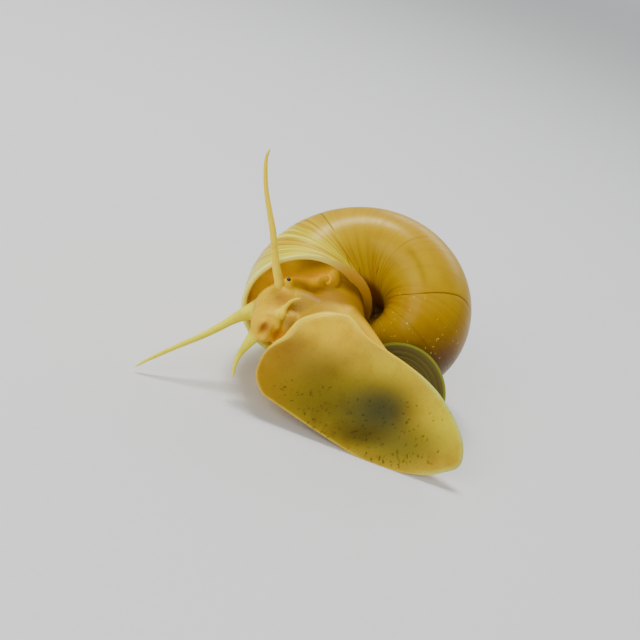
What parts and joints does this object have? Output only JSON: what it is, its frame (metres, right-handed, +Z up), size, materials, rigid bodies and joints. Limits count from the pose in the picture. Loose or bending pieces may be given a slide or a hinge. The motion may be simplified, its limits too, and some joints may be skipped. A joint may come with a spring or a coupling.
{
  "type": "apple snail model",
  "caption": "Life-size still model of a golden apple snail at rest on its shell, with sole, head, feelers and operculum shown",
  "frame": {"origin": "the middle of the bounding box in X and Y, on the floor that the model rests on", "axes": "+Z is up; the sole of the foot faces -Y and a little upwards; the animal's head is on the -X side and its tail on the +X side"},
  "size_m": [0.0576, 0.0458, 0.0404],
  "materials": {
    "shell": "polished amber-yellow shell with fine growth lines and a pale lip",
    "operculum": "horny grey-olive plate with concentric growth lines",
    "flesh": "moist, slightly translucent cream-yellow skin with dark specks",
    "mantle": "moist orange flesh inside the shell's mouth",
    "eye": "glossy black"
  },
  "bodies": {
    "root": {"shell": "shell", "operculum": "operculum", "foot": "flesh", "neck": "flesh", "head": "flesh", "mantle": "mantle", "siphon": "mantle", "palp_left": "flesh", "palp_right": "flesh", "tentacle_left_base": "flesh", "tentacle_left_middle": "flesh", "tentacle_left_tip": "flesh", "tentacle_right_base": "flesh", "tentacle_right_middle": "flesh", "tentacle_right_tip": "flesh", "eyestalk_left": "flesh", "eyestalk_right": "flesh", "eye_left": "eye", "eye_right": "eye"}
  },
  "joints": []
}
